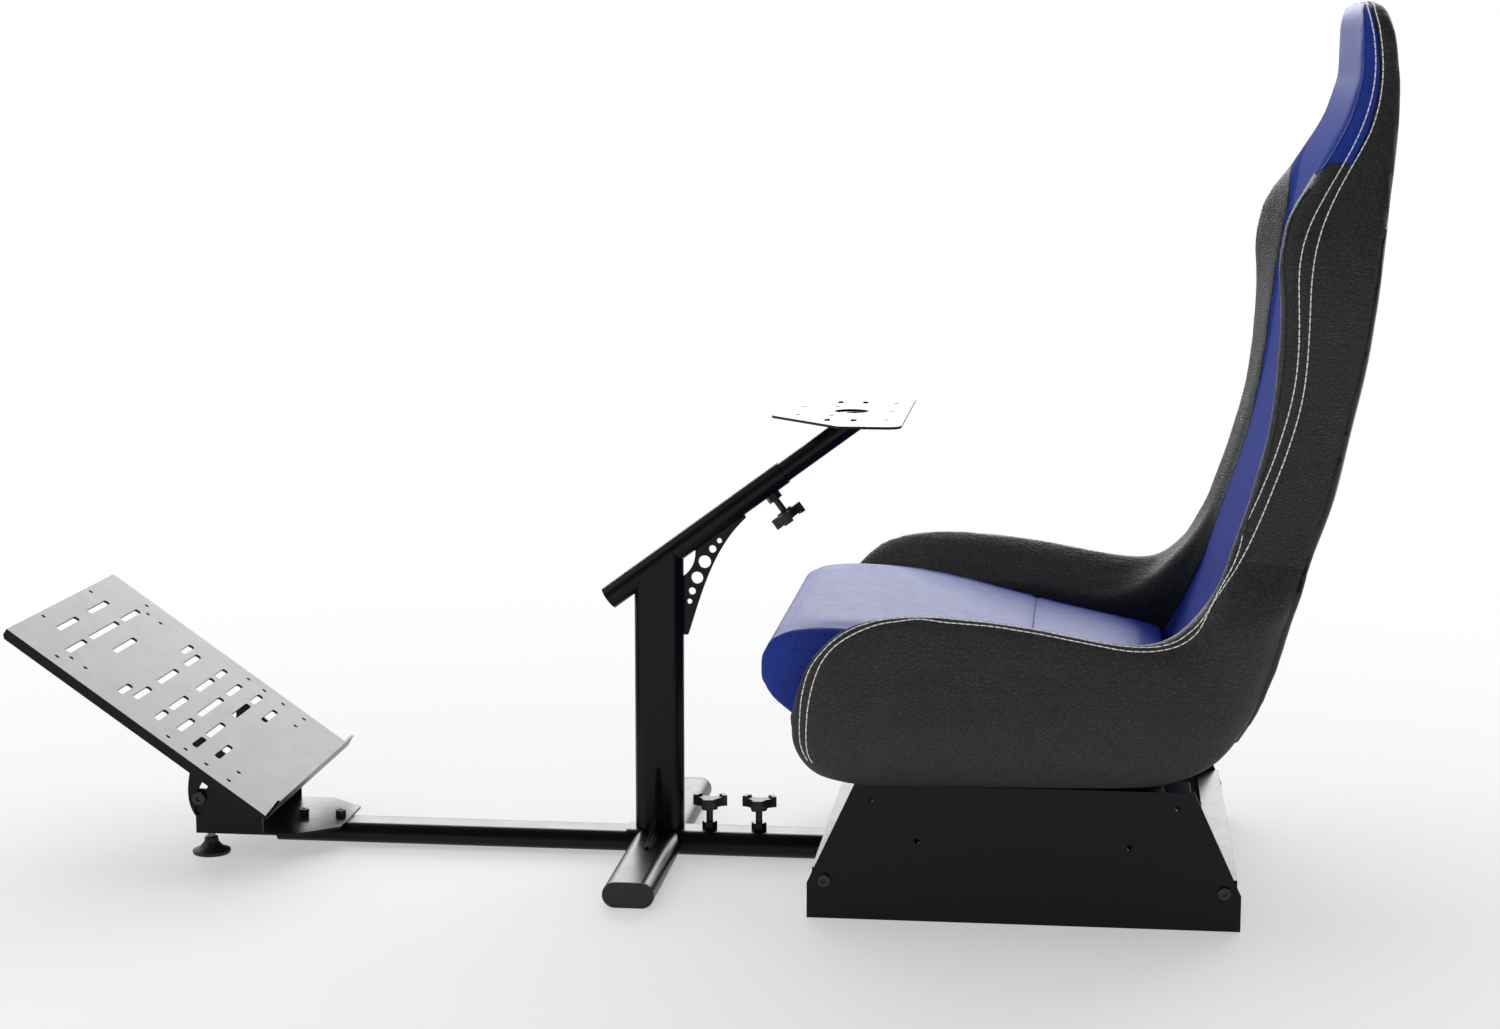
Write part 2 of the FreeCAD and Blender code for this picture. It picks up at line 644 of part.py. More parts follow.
def back_bolster():
    wing = []
    head = []
    for k, (front, rear, y_out) in enumerate(BACK):
        if k <= HEAD_START:
            inner = on_station(k, PANEL_X[k] - PANEL_SUNK)
            wing.append(section(inner, front, rear, PANEL_HALF[k], y_out, EDGE_R, REAR_R))
        if k >= HEAD_START:
            seam = head_seam(k, SOFT_GAP / 2)
            r_rear = min(REAR_R, (rear[0] - seam[0]) / 2)
            head.append(section(seam, seam, rear, SOFT_GAP / 2, y_out, 1.0, r_rear))
    wing = Part.makeLoft(wing, True, True)
    return wing.fuse(Part.makeLoft(head, True, True)).removeSplitter()


def slab(front, rear, half):
    points = [vec(front[0], front[1], -half), vec(front[0], front[1], half)]
    points += [vec(rear[0], rear[1], half), vec(rear[0], rear[1], -half)]
    return Part.makePolygon(points + [points[0]])


def backrest_panel():
    wires = [slab(front, rear, BOLSTER_IN - 1.5 * PANEL_GAP) for front, rear in LOW_PANEL]
    for k in range(HEAD_START + 1):
        drop = SOFT_GAP if k == HEAD_START else 0.0
        fx, fz = on_station(k, PANEL_X[k])
        rx, rz = BACK[k][1]
        wires.append(slab((fx, fz - drop), (rx, rz - drop), PANEL_HALF[k] - PANEL_GAP))
    return Part.makeLoft(wires, True, True)


def headrest():
    wires = []
    for k in range(HEAD_START, len(BACK)):
        lift = V(0, 0, SOFT_GAP if k == HEAD_START else 0.0)
        seam = head_seam(k, -SOFT_GAP / 2)
        f = vec(*BACK[k][0]) + lift
        r = vec(*seam) + lift
        half = BACK[k][2]
        back = (r - f).normalize()
        corner = min(12.0, (r - f).Length * 0.45)
        side = rounded(f - Y * half, back, Y, corner) + [r - Y * half]
        points = side + [V(p.x, -p.y, p.z) for p in reversed(side)]
        wires.append(Part.makePolygon(points + [points[0]]))
    return Part.makeLoft(wires, True, True)


def seat_cushion():
    half = BOLSTER_IN - SOFT_GAP
    floor = SIDE_TOP + PAN_T + SOFT_GAP
    chin = [(CUSHION_FLOOR_X[0], floor)] + list(CUSHION_CHIN) + [CUSHION_TOP[0]]
    outline = curve([vec(x, z, -half) for x, z in chin]).discretize(CHIN_STEPS)[:-1]
    outline += curve([vec(x, z, -half) for x, z in CUSHION_TOP]).discretize(TOP_STEPS)
    return prism(outline + [vec(CUSHION_FLOOR_X[1], floor, -half)], V(0, 2 * half, 0))


def seat_pan():
    half = BOLSTER_IN - 2
    return box(PAN_FRONT, PAN_REAR, -half, half, SIDE_TOP, SIDE_TOP + PAN_T)


def back_shell(padding):
    stations = list(SHELL_LOW)
    stations += [(BACK[k][1], BACK[k][2] - SHELL_IN, SHELL_T) for k in range(SHELL_THIN_AT)]
    stations.append((BACK[SHELL_THIN_AT][1], BACK[SHELL_THIN_AT][2] - SHELL_IN, SHELL_THIN))
    stations.append(((823.5, 778.0), 233.0, SHELL_TIP))
    wires = []
    for k, ((x, z), half, thick) in enumerate(stations):
        ahead = stations[min(k + 1, len(stations) - 1)][0]
        behind = stations[max(k - 1, 0)][0]
        run = vec(ahead[0] - behind[0], ahead[1] - behind[1]).normalize()
        out = V(run.z, 0, -run.x)
        near = vec(x, z) + out * SHELL_GAP
        far = near + out * thick
        points = [near - Y * half, near + Y * half, far + Y * (half - 3), far - Y * (half - 3)]
        wires.append(Part.makePolygon(points + [points[0]]))
    return Part.makeLoft(wires, True, True).cut(padding)


# Collect and write every piece

def build():
    PARTS["rear_beam"] = rear_beam()
    PARTS["beam_end_cap"] = end_cap(V(BEAM_REAR, 0, TUBE_H / 2), X, Y)
    both_sides("foot", left_foot())
    both_sides("foot_cap", end_cap(V(0, -FOOT_END, TUBE_H / 2), -Y, X))
    both_sides("foot_gusset", foot_gusset())
    PARTS["post"] = post()
    PARTS["column_gusset"] = column_gusset()
    PARTS["outer_column_tube"] = outer_column_tube()
    at = COL_FOOT + COL_AXIS * (COL_LEN - COL_KNOB_BACK)
    nut = hexagon(at + COL_DOWN * (COL_OD / 2 - 1.5), COL_DOWN, COL_AXIS, NUT_AF, NUT_H, BORE_R)
    PARTS["column_nut"] = nut.cut(column_solid())
    tip = at + COL_DOWN * (STEM_OD / 2 + 0.3)
    screw = COL_OD / 2 - 1.5 + NUT_H + KNOB_STEM - STEM_OD / 2 - 0.3
    PARTS["column_knob"] = knob(tip, COL_DOWN, screw)
    PARTS["stem_tube"] = stem_tube()
    PARTS["wheel_plate"] = wheel_plate()
    for name, x in zip(("front", "rear"), BEAM_KNOB_X):
        PARTS[name + "_beam_nut"] = hexagon(V(x, 0, TUBE_H), Z, X, NUT_AF, NUT_H, BORE_R)
        screw = TUBE_H + NUT_H + KNOB_STEM - INNER_TOP - 0.3
        PARTS[name + "_beam_knob"] = knob(V(x, 0, INNER_TOP + 0.3), Z, screw)
    PARTS["front_beam"] = front_beam()
    PARTS["pedal_base"] = pedal_base()
    for name, x in zip(("front", "rear"), BASE_SCREW_X):
        seat = V(x, 0, BASE_Z0 + SHEET)
        PARTS[name + "_base_screw"] = socket_screw(seat, Z, X, 6.5, 8.0, 10.0)
    PARTS["pedal_plate"] = tilt(pedal_sheet())
    both_sides("pedal_ear", left_ear())
    lock_seat = vec(LOCK.x, LOCK.z, -BASE_HALF - EAR_GAP - SHEET - 0.4)
    both_sides("tilt_bolt", socket_screw(lock_seat, -Y, X, BOLT_HEAD_R + 1, 5.0, 14.0))
    both_sides("leveling_foot", leveling_foot())
    both_sides("side_plate", side_plate())
    for name, x in zip(("front", "rear"), BAR_X):
        PARTS[name + "_cross_bar"] = cross_bar(x)
        bolt_seat = vec(x, BAR_Z0 + BAR / 2, -SIDE_Y)
        both_sides(name + "_side_bolt", socket_screw(bolt_seat, -Y, X, BOLT_HEAD_R, BOLT_HEAD_H, SIDE_BOLT_L))
    PARTS["seat_pan"] = seat_pan()
    PARTS["seat_cushion"] = seat_cushion()
    both_sides("seat_bolster", seat_bolster())
    both_sides("back_bolster", back_bolster())
    PARTS["backrest_panel"] = backrest_panel()
    PARTS["headrest"] = headrest()
    padding = [PARTS["backrest_panel"]]
    for side in ("left", "right"):
        padding += [PARTS[side + "_seat_bolster"], PARTS[side + "_back_bolster"]]
    PARTS["back_shell"] = back_shell(padding)


build()
for name in sorted(PARTS):
    PARTS[name].exportStep("parts/%s.step" % name)
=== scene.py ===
import json
import math
import bmesh
import bpy
import numpy as np
from mathutils import Matrix, Vector
from mathutils.bvhtree import BVHTree
from mathutils.kdtree import KDTree


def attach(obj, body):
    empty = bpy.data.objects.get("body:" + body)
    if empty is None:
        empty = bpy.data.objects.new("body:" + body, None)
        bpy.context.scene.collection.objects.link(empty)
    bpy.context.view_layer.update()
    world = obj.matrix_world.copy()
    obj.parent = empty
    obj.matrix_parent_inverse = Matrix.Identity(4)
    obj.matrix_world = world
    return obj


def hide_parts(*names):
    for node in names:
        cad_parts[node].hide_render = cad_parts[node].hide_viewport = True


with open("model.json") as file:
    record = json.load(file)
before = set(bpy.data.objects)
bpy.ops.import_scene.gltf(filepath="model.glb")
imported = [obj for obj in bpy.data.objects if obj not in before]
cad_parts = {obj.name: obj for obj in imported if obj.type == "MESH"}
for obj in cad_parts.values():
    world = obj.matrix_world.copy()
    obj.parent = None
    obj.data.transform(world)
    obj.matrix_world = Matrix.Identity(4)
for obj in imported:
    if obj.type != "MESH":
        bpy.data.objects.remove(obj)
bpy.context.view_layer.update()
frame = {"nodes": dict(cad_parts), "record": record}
scene = bpy.context.scene
MM = 0.001

# Camera at the photograph's angle
CAMERA_PLACE = (0.5133, -3.3839, 0.9436)
CAMERA_YAW = 0.1185
CAMERA_PITCH = 0.1531
PHOTO_WIDTH_PX = 1500
FOCAL_PX = 2878
SENSOR_MM = 36.0

# Padding
VOXEL = 6.0 * MM
MERGE = 0.02 * MM
FUSE = 1.6 * MM
TUCK = 5.0 * MM
LAST_FRAME = 12
PRESSURE = 4.0
SETTLE_ROUNDS = 14
FOAM_ROUNDS = 24
GLIDE_ROUNDS = 40
CORNER_ROUNDS = 36
CORNER_REACH = 26 * MM
COVER_LIFT = 1.5 * MM
COVER_RISE = 2.0 * MM
ROW_ROUNDS = 240
ROW_STEP = 1.0 * MM
SEAT_TOP = 340 * MM
BACK_FOOT = 480 * MM
HEAD_FOOT = 860 * MM
HEAD_TOP = 960 * MM
SEAT_CORNER = (205, 177)

# Sewn rows of the driver's left wing, as guide points in mm from the head's top down to the seat's front
ROW_ONE = (
    (806, 0, 1026), (806, -55, 1026), (806, -92, 1024), (806, -122, 1017), (808, -145, 1004),
    (812, -157, 985), (815, -163, 950), (813, -166, 925), (803, -179, 888), (784, -199, 850),
    (761, -223, 812), (742, -244, 776), (733, -256, 740), (733, -262, 700), (734, -265, 660),
    (731, -268, 610), (719, -270, 556), (700, -275, 500), (678, -283, 449), (656, -290, 405),
    (637, -296, 371), (627, -298, 359), (610, -300, 346), (592, -300, 338), (557, -300, 333),
    (515, -300, 338), (460, -299, 349), (394, -298, 357), (336, -297, 358), (276, -300, 350),
    (255, -302, 341), (235, -304, 329), (221, -306, 311), (210, -307, 289), (204, -307, 266),
    (202, -307, 238), (201, -307, 217), (203, -307, 200), (203, -305, 184),
)
ROW_TWO = (
    (816, 0, 1026), (816, -55, 1026), (816, -92, 1024), (815, -122, 1017), (816, -145, 1004),
    (820, -157, 980), (823, -163, 945), (821, -167, 918), (811, -182, 880), (792, -201, 846),
    (769, -226, 806), (753, -247, 766), (746, -257, 725), (745, -262, 690), (744, -265, 650),
    (740, -268, 600), (728, -271, 549), (708, -276, 492), (690, -281, 446), (678, -284, 421),
    (668, -288, 404), (653, -294, 382), (639, -300, 361), (628, -303, 350), (610, -306, 340),
    (586, -308, 331), (557, -309, 328), (515, -309, 334), (460, -308, 344), (395, -307, 352),
    (337, -307, 353), (309, -308, 351), (283, -309, 345), (262, -310, 336), (239, -311, 321),
    (225, -312, 303), (217, -312, 281), (212, -312, 260), (210, -312, 239), (209, -312, 218),
    (210, -312, 198), (210, -308, 180),
)
STITCH_LONG = 7.0 * MM
STITCH_PITCH = 8.0 * MM
STITCH_WIDE = 1.4 * MM
STITCH_HIGH = 1.0 * MM
STITCH_LIFT = 0.3 * MM
STITCH_SIDES = 8
CHANNEL_DEEP = 0.9 * MM
CHANNEL_WIDE = 3.0 * MM
# Welt on the front edge of the wing, blue beside the head and black below it
BLUE_WELT = (
    (806, -100, 1019), (802, -126, 1009), (800, -143, 998), (800, -150, 985), (800, -158, 937),
    (785, -172, 888), (756, -198, 839),
)
BLACK_WELT = (
    (742, -211, 819), (721, -231, 790), (711, -248, 745), (715, -257, 690), (713, -261, 625),
    (705, -264, 555), (686, -270, 480), (664, -278, 425),
)
WELT_R = 1.5 * MM
WELT_STEP = 4 * MM
FAR_OUT = 0.6
FACING_OUT = 0.5
SIDE_SEAM = ((684, -281, 418), (705, -281, 416), (742, -281, 413))

# Edges of the blue cover: half width by height, and how far back it reaches by height, as (z, mm)
BLUE_HALF = (
    (150, 222), (388, 222), (412, 219), (482, 211), (557, 195), (626, 181), (694, 169), (750, 159),
    (785, 150), (806, 151), (820, 158), (832, 172), (840, 188), (846, 196), (852, 260), (1030, 400),
)
BLUE_REACH = (
    (186, 625), (249, 655), (330, 688), (388, 706), (412, 708), (482, 737), (557, 755), (626, 769),
    (694, 776), (750, 784), (795, 790), (832, 794), (846, 790), (880, 808), (918, 818), (945, 820),
    (980, 817), (1005, 812), (1020, 811),
)
# Behind this depth the blue cover's edge is level, and in front of it the edge drops on the outer sides
DROP_BEHIND = 766 * MM
DROP_FROM = 180 * MM
DROP_OVER = 15 * MM
# Hard back shell by height, as (z, mm): half width, rear line, front edge of its rim and thickness
SHELL_HALF = (
    (214, 250), (270, 262), (334, 267), (390, 268), (484, 264), (560, 258), (628, 255), (698, 251),
    (755, 242), (778, 231),
)
SHELL_REAR = (
    (214, 675), (270, 700), (334, 723), (390, 741), (484, 771), (560, 788), (628, 803), (698, 813),
    (778, 824),
)
SHELL_RIM = (
    (214, 676), (270, 699), (334, 722), (390, 740), (484, 770), (560, 787), (628, 802), (698, 814),
    (778, 832),
)
SHELL_DEEP = 40 * MM
RIM_WIDE = 12 * MM
SHELL_THICK = ((214, 3.6), (484, 3.6), (698, 2.4), (778, 0.8))
# Swelling of the seat's sides: its share by height and by length, as (mm, share)
SKIRT_OUT = 11.0 * MM
SKIRT_LEVELS = (
    (150, -1.0), (165, -0.6), (182, 0.0), (205, 0.6), (230, 0.95), (250, 1.0), (275, 0.75), (300, 0.3),
    (325, 0.0),
)
SKIRT_LENGTH = ((190, 0.0), (250, 0.6), (320, 1.0), (520, 1.0), (620, 0.5), (700, 0.0))
CUSHION_SEAM = ((450, -218, 288), (450, -110, 290), (450, 0, 290), (450, 110, 290), (450, 218, 288))
CUSHION_NOSE_X = 149 * MM
CUSHION_ROUNDS = 6
CUSHION_SINK = 1.0 * MM
CUSHION_RISE = 5.0 * MM
SEAM_R = 1.0 * MM
SEAM_DEEP = 1.5 * MM
SEAM_WIDE = 3.5 * MM

FRAME_BODY = "frame"

# Colours, and the heights between which the blue back turns from matte to smooth
BLACK = (0.036, 0.036, 0.036)
BLUE = (0.026, 0.056, 0.360)
WHITE = (1.0, 1.0, 1.0, 1.0)
MATTE_ROUGH = 0.90
MATTE_TOP = 0.86
SMOOTH_FOOT = 0.98
EDGE_SOFT = 0.8 * MM
PEEL_DEEP = 0.2 * MM
PEEL_SCALE = 700.0
GRAIN_STRETCH = (0.55, 0.55, 1.0)
FOLD_STRETCH = (26.0, 26.0, 190.0)
CREASE_WIDE = 0.30
# Painted shade: colour factors that darken the leather in its grain creases and lighten the cell tops a
# little
CREASE_PAINTED_SHADE = 0.62
CELL_TOP_PAINTED_LIGHT = 1.06

# Floor and studio light
FLOOR_HALF = 30.0
FLOOR_MIDDLE = (0.15, 0.0, 0.0)
GLOW_NEAR = 0.5
GLOW_FAR = 2.2
GLOW_LEAST = 0.45
BRIGHT_SIDE = (-0.30, 0.95, 0.05)
WORLD_TURN = 0.8
WORLD_DIM = 0.06
WORLD_BRIGHT = 0.5
# Each softbox: name, place, target, width, height, power, and whether it shows in reflections
SOFTBOXES = (
    ("back_softbox", (0.2, 8.0, 3.5), (0.2, 0.0, 0.5), 11.0, 4.0, 740.0, True),
    ("top_fill", (0.2, 0.6, 3.0), (0.2, 0.0, 0.4), 4.0, 3.0, 40.0, False),
    ("left_softbox", (-2.6, -0.6, 1.6), (0.4, 0.0, 0.5), 2.0, 2.0, 14.0, True),
    ("front_fill", (0.2, -3.4, 0.5), (0.2, 0.0, 0.45), 4.0, 0.6, 46.0, False),
)


# Finishes

def new_finish(name, colour, rough):
    mat = bpy.data.materials.new(name)
    mat.use_nodes = True
    shader = mat.node_tree.nodes["Principled BSDF"]
    shader.inputs["Base Color"].default_value = (*colour, 1.0)
    shader.inputs["Roughness"].default_value = rough
    return mat, shader


def add(mat, kind, **values):
    node = mat.node_tree.nodes.new(kind)
    for key, value in values.items():
        node.inputs[key.replace("_", " ")].default_value = value
    return node


def link(mat, out, into):
    mat.node_tree.links.new(out, into)


def object_noise(mat, scale, detail):
    place = add(mat, "ShaderNodeTexCoord")
    noise = add(mat, "ShaderNodeTexNoise", Scale=scale, Detail=detail)
    link(mat, place.outputs["Object"], noise.inputs["Vector"])
    return noise


def vary_colour(mat, shader, colour, spread, scale):
    noise = object_noise(mat, scale, 3.0)
    ramp = add(mat, "ShaderNodeValToRGB")
    low, high = ramp.color_ramp.elements
    low.position, high.position = 0.3, 0.7
    low.color = (*[c * (1 - spread) for c in colour], 1.0)
    high.color = (*[c * (1 + spread) for c in colour], 1.0)
    link(mat, noise.outputs["Fac"], ramp.inputs["Fac"])
    link(mat, ramp.outputs["Color"], shader.inputs["Base Color"])


def vary_rough(mat, shader, rough, spread, scale):
    noise = object_noise(mat, scale, 2.0)
    spread_node = add(mat, "ShaderNodeMapRange")
    spread_node.inputs["To Min"].default_value = rough - spread
    spread_node.inputs["To Max"].default_value = rough + spread
    link(mat, noise.outputs["Fac"], spread_node.inputs["Value"])
    link(mat, spread_node.outputs["Result"], shader.inputs["Roughness"])


def leather(name, colour, rough, gloss, grain, depth, folds):
    """Grained leather: fine cells with painted shade in the creases between them and slightly lighter painted
    cell tops, and longer level folds.
    """
    mat, shader = new_finish(name, colour, rough)
    shader.inputs["Specular IOR Level"].default_value = gloss
    place = add(mat, "ShaderNodeTexCoord")
    stretch = add(mat, "ShaderNodeMapping", Scale=GRAIN_STRETCH)
    drift = add(mat, "ShaderNodeTexNoise", Scale=grain * 0.3, Detail=2.0)
    shift = add(mat, "ShaderNodeMixRGB")
    shift.blend_type = "LINEAR_LIGHT"
    shift.inputs["Fac"].default_value = 0.9 / grain
    cells = add(mat, "ShaderNodeTexVoronoi", Scale=grain)
    cells.feature = "DISTANCE_TO_EDGE"
    crease = add(mat, "ShaderNodeMapRange", From_Max=CREASE_WIDE)
    crease.interpolation_type = "SMOOTHSTEP"
    level = add(mat, "ShaderNodeMapping", Scale=FOLD_STRETCH)
    fold = add(mat, "ShaderNodeTexNoise", Scale=1.0, Detail=4.0)
    height = add(mat, "ShaderNodeMixRGB", Fac=folds)
    bump = add(mat, "ShaderNodeBump", Strength=0.7, Distance=depth)
    link(mat, place.outputs["Object"], stretch.inputs["Vector"])
    link(mat, stretch.outputs["Vector"], drift.inputs["Vector"])
    link(mat, stretch.outputs["Vector"], shift.inputs["Color1"])
    link(mat, drift.outputs["Color"], shift.inputs["Color2"])
    link(mat, shift.outputs["Color"], cells.inputs["Vector"])
    link(mat, cells.outputs["Distance"], crease.inputs["Value"])
    link(mat, place.outputs["Object"], level.inputs["Vector"])
    link(mat, level.outputs["Vector"], fold.inputs["Vector"])
    link(mat, crease.outputs["Result"], height.inputs["Color1"])
    link(mat, fold.outputs["Fac"], height.inputs["Color2"])
    link(mat, height.outputs["Color"], bump.inputs["Height"])
    link(mat, bump.outputs["Normal"], shader.inputs["Normal"])
    vary_colour(mat, shader, colour, 0.08, 22.0)
    # Painted shade in the grain creases and painted light on the cell tops
    paint_crease_shade(mat, shader, crease)
    vary_rough(mat, shader, rough, 0.05, 60.0)
    return mat, shader


# Painted shade: multiplies the leather's colour darker in the grain creases and a little lighter on the cell
# tops
def paint_crease_shade(mat, shader, crease):
    colour = shader.inputs["Base Color"].links[0].from_socket
    shade = add(mat, "ShaderNodeMapRange", To_Min=CREASE_PAINTED_SHADE, To_Max=CELL_TOP_PAINTED_LIGHT)
    mix = add(mat, "ShaderNodeMixRGB", Fac=1.0)
    mix.blend_type = "MULTIPLY"
    link(mat, crease.outputs["Result"], shade.inputs["Value"])
    link(mat, colour, mix.inputs["Color1"])
    link(mat, shade.outputs["Result"], mix.inputs["Color2"])
    link(mat, mix.outputs["Color"], shader.inputs["Base Color"])


def matte_below(mat, shader, rough, low, high):
    """Leather that is rubbed smooth at the top of a piece and matte further down."""
    smooth = shader.inputs["Roughness"].links[0].from_socket
    place = add(mat, "ShaderNodeTexCoord")
    split = add(mat, "ShaderNodeSeparateXYZ")
    height = add(mat, "ShaderNodeMapRange", From_Min=low, From_Max=high)
    height.interpolation_type = "SMOOTHSTEP"
    mix = add(mat, "ShaderNodeMix")
    mix.inputs["A"].default_value = rough
    link(mat, place.outputs["Object"], split.inputs["Vector"])
    link(mat, split.outputs["Z"], height.inputs["Value"])
    link(mat, height.outputs["Result"], mix.inputs["Factor"])
    link(mat, smooth, mix.inputs["B"])
    link(mat, mix.outputs["Result"], shader.inputs["Roughness"])


def coated(name, colour, rough, gloss, peel):
    """A sprayed or moulded skin with slight peel and softened edges."""
    mat, shader = new_finish(name, colour, rough)
    shader.inputs["Specular IOR Level"].default_value = gloss
    noise = object_noise(mat, PEEL_SCALE, 2.0)
    edge = add(mat, "ShaderNodeBevel", Radius=EDGE_SOFT)
    bump = add(mat, "ShaderNodeBump", Strength=peel, Distance=PEEL_DEEP)
    link(mat, noise.outputs["Fac"], bump.inputs["Height"])
    link(mat, edge.outputs["Normal"], bump.inputs["Normal"])
    link(mat, bump.outputs["Normal"], shader.inputs["Normal"])
    vary_rough(mat, shader, rough, 0.04, 35.0)
    return mat, shader


BLACK_LEATHER, _ = leather("black_leather", BLACK, 0.55, 0.3, 290.0, 0.0014, 0.6)
BLUE_LEATHER, _ = leather("blue_leather", BLUE, 0.45, 0.12, 700.0, 0.00012, 0.2)
BACK_LEATHER, back_shader = leather("blue_back_leather", BLUE, 0.45, 0.10, 700.0, 0.00012, 0.2)
matte_below(BACK_LEATHER, back_shader, MATTE_ROUGH, MATTE_TOP, SMOOTH_FOOT)
POWDER_COAT, _ = coated("powder_coat", (0.004, 0.004, 0.0042), 0.30, 0.2, 0.18)
KNOB_PLASTIC, _ = coated("knob_plastic", (0.014, 0.014, 0.014), 0.42, 0.4, 0.3)
SHELL_PLASTIC, _ = coated("shell_plastic", (0.010, 0.010, 0.010), 0.32, 0.4, 0.3)
BLACK_SCREW, screw_shader = coated("black_screw", (0.045, 0.045, 0.047), 0.34, 0.5, 0.1)
screw_shader.inputs["Metallic"].default_value = 0.8
ZINC, zinc_shader = coated("zinc_plate", (0.50, 0.50, 0.48), 0.38, 0.5, 0.2)
zinc_shader.inputs["Metallic"].default_value = 1.0
PAN_BOARD, _ = coated("pan_board", (0.035, 0.033, 0.031), 0.7, 0.3, 0.6)
NAVY_THREAD, _ = new_finish("navy_thread", (0.008, 0.012, 0.075), 0.7)
THREAD, _ = new_finish("white_thread", (0.92, 0.92, 0.90), 0.6)

CAD_FINISH = {
    "black_metal": POWDER_COAT, "black_screw": BLACK_SCREW, "black_plastic": KNOB_PLASTIC, "board": PAN_BOARD,
}


def dress_cad_nodes():
    slots = {row["node"]: row["material_slot"] for row in frame["record"]["subparts"]}
    for name, obj in frame["nodes"].items():
        obj.data.materials.clear()
        obj.data.materials.append(CAD_FINISH.get(slots[name], POWDER_COAT))


# Padded pieces

def coords_of(mesh):
    flat = np.empty(len(mesh.vertices) * 3, np.float32)
    mesh.vertices.foreach_get("co", flat)
    return flat.reshape(-1, 3).astype(float)


def normals_of(mesh):
    flat = np.empty(len(mesh.vertices) * 3, np.float32)
    mesh.vertex_normals.foreach_get("vector", flat)
    return flat.reshape(-1, 3).astype(float)


def put_coords(mesh, points):
    mesh.vertices.foreach_set("co", points.astype(np.float32).ravel())
    mesh.update()


def new_piece(name, shape, finish):
    mesh = bpy.data.meshes.new(name)
    shape.to_mesh(mesh)
    shape.free()
    mesh.materials.append(finish)
    mesh.polygons.foreach_set("use_smooth", [True] * len(mesh.polygons))
    obj = bpy.data.objects.new(name, mesh)
    scene.collection.objects.link(obj)
    return obj


def bake_modifiers(obj):
    graph = bpy.context.evaluated_depsgraph_get()
    mesh = bpy.data.meshes.new_from_object(obj.evaluated_get(graph))
    obj.modifiers.clear()
    old = obj.data
    obj.data = mesh
    bpy.data.meshes.remove(old)
    mesh.name = obj.name


def foam_block(name, nodes, finish, grow):
    """Joins the CAD solids of a pad, each grown a little so that the remesh fuses them."""
    shape = bmesh.new()
    for node in nodes:
        shape.from_mesh(frame["nodes"][node].data)
    bmesh.ops.remove_doubles(shape, verts=shape.verts, dist=MERGE)
    shape.normal_update()
    for vert in shape.verts:
        vert.co += vert.normal * grow
    return new_piece(name, shape, finish)


def remesh(obj, voxel):
    modifier = obj.modifiers.new("Even", "REMESH")
    modifier.mode = "VOXEL"
    modifier.voxel_size = voxel
    modifier.use_smooth_shade = True
    bake_modifiers(obj)


def edge_ends(mesh):
    ends = np.empty(len(mesh.edges) * 2, np.int32)
    mesh.edges.foreach_get("vertices", ends)
    return ends.reshape(-1, 2).T


def spread(mesh):
    """A function that gives each vertex the mean of a value over its neighbours."""
    a, b = edge_ends(mesh)
    size = len(mesh.vertices)
    count = np.bincount(a, minlength=size) + np.bincount(b, minlength=size)

    def mean(value):
        return (np.bincount(a, value[b], size) + np.bincount(b, value[a], size)) / count

    return mean


def even_out(obj, rounds):
    """Smooths a mesh and keeps its volume, by a step in and a slightly longer step out."""
    mean = spread(obj.data)
    points = coords_of(obj.data)
    for _ in range(rounds):
        for step in (0.50, -0.53):
            pull = np.column_stack([mean(points[:, axis]) for axis in range(3)]) - points
            points += step * pull
    put_coords(obj.data, points)


def glide(obj, rounds, upright):
    """Runs a piece smooth along its length, which is upright by a share at each vertex and level else."""
    a, b = edge_ends(obj.data)
    points = coords_of(obj.data)
    lengthwise = np.column_stack((1.0 - upright, np.zeros(len(points)), upright))
    lengthwise /= np.linalg.norm(lengthwise, axis=1)[:, None]
    run = points[b] - points[a]
    run /= np.linalg.norm(run, axis=1)[:, None]
    weight = (run * (lengthwise[a] + lengthwise[b]) / 2).sum(axis=1) ** 2
    size = len(points)
    total = np.maximum(np.bincount(a, weight, size) + np.bincount(b, weight, size), 1.0)

    def smooth(value):
        for _ in range(rounds):
            pull = weight * (value[b] - value[a])
            value = value + 0.5 * (np.bincount(a, pull, size) - np.bincount(b, pull, size)) / total
        return value

    share = np.clip((HEAD_TOP - points[:, 2]) / (HEAD_TOP - HEAD_FOOT), 0.0, 1.0)
    for axis in range(3):
        first = smooth(points[:, axis])
        even = first + smooth(points[:, axis] - first)
        points[:, axis] += share * (even - points[:, axis])
    put_coords(obj.data, points)


def soften(obj, corner, reach, rounds):
    """Rounds the foam off near a corner that is given in side view."""
    mean = spread(obj.data)
    points = coords_of(obj.data)
    near = np.hypot(points[:, 0] - corner[0] * MM, points[:, 2] - corner[1] * MM)
    step = 0.5 * np.exp(-(near / reach) ** 2)
    for _ in range(rounds):
        pull = np.column_stack([mean(points[:, axis]) for axis in range(3)]) - points
        points += step[:, None] * pull
    put_coords(obj.data, points)


def flare(obj):
    """Lets the seat's sides swell out low down and tuck in at their lower edge."""
    points = coords_of(obj.data)
    outward = np.clip(normals_of(obj.data)[:, 1] * np.sign(points[:, 1]), 0.0, 1.0)
    level = share_at(SKIRT_LEVELS, points[:, 2])
    length = share_at(SKIRT_LENGTH, points[:, 0])
    points[:, 1] += np.sign(points[:, 1]) * SKIRT_OUT * outward * level * length
    put_coords(obj.data, points)


def swell(obj, amount):
    put_coords(obj.data, coords_of(obj.data) + normals_of(obj.data) * amount)


